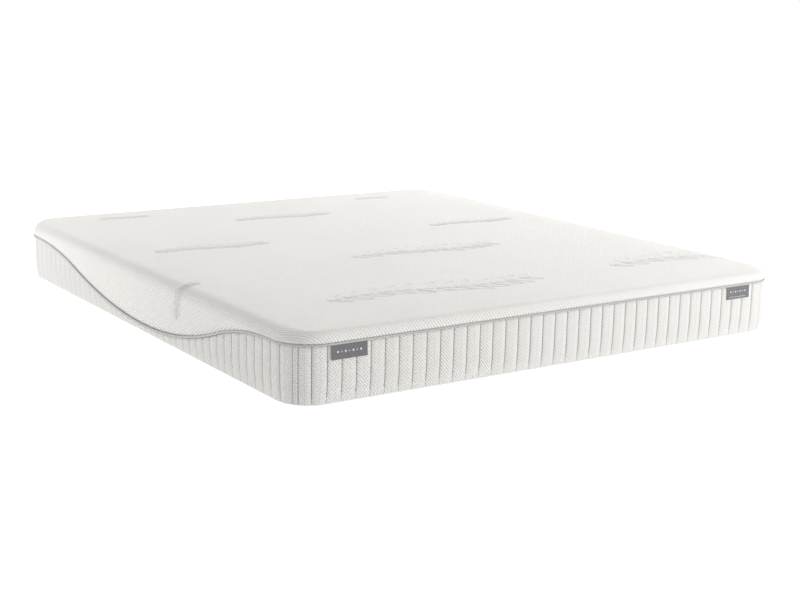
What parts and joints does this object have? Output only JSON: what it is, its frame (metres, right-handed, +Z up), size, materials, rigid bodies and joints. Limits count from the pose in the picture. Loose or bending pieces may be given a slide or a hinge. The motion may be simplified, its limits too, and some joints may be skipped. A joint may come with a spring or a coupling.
{
  "type": "mattress",
  "caption": "Rounded rectangular foam mattress with a soft knitted top, wave-shaped grey piping, a quilted border and a zip-off cover that lifts from its layered core.",
  "frame": {"origin": "on the floor, under the middle of the mattress", "axes": "+X across the bed, +Y from the foot end to the head end, +Z up; the labels are on the foot end at -Y"},
  "size_m": [1.8084, 2.0084, 0.208],
  "materials": {
    "cover_knit": "matte",
    "border_quilt": "matte",
    "corner_knit": "matte",
    "fibre_wadding": "matte",
    "lining_fabric": "matte",
    "piping_grey": "satin",
    "piping_core": "matte",
    "label_weave": "satin",
    "zip_tape": "matte",
    "zip_coil": "satin",
    "zip_metal": "satin",
    "base_fabric": "matte",
    "sleeve_knit": "matte",
    "memory_foam": "matte",
    "transition_foam": "matte",
    "support_foam": "matte"
  },
  "bodies": {
    "base": {"base_panel": "base_fabric", "support_foam": "support_foam", "transition_foam": "transition_foam", "memory_foam": "memory_foam", "inner_sleeve": "sleeve_knit", "zip_tape_lower": "zip_tape", "zip_coil_lower": "zip_coil", "zip_stop": "zip_metal"},
    "cover": {"top_panel": "cover_knit", "top_wadding": "fibre_wadding", "top_lining": "lining_fabric", "piping_casing": "piping_grey", "piping_flange": "piping_grey", "piping_cord": "piping_core", "border_foot": "border_quilt", "border_head": "border_quilt", "border_left": "border_quilt", "border_right": "border_quilt", "border_lining_foot": "lining_fabric", "border_lining_head": "lining_fabric", "border_lining_left": "lining_fabric", "border_lining_right": "lining_fabric", "corner_strip_foot_left": "corner_knit", "corner_strip_foot_right": "corner_knit", "corner_strip_head_left": "corner_knit", "corner_strip_head_right": "corner_knit", "label_left": "label_weave", "label_right": "label_weave", "zip_tape_upper": "zip_tape", "zip_coil_upper": "zip_coil"},
    "zip_slider": {"zip_slider": "zip_metal", "pull_pin": "zip_metal"},
    "zip_pull": {"zip_pull": "zip_metal"}
  },
  "joints": [
    {"name": "cover_lift", "type": "slide", "parent": "base", "child": "cover", "axis": [0, 0, 1], "range_m": [0, 0.3]},
    {"name": "slider_run", "type": "slide", "parent": "base", "child": "zip_slider", "axis": [1, 0, 0], "range_m": [0, 1.4]},
    {"name": "pull_swing", "type": "hinge", "parent": "zip_slider", "child": "zip_pull", "pos_m": [-0.7, 0.994, 0.012], "axis": [0, 0, 1], "range_deg": [0, 170]}
  ]
}
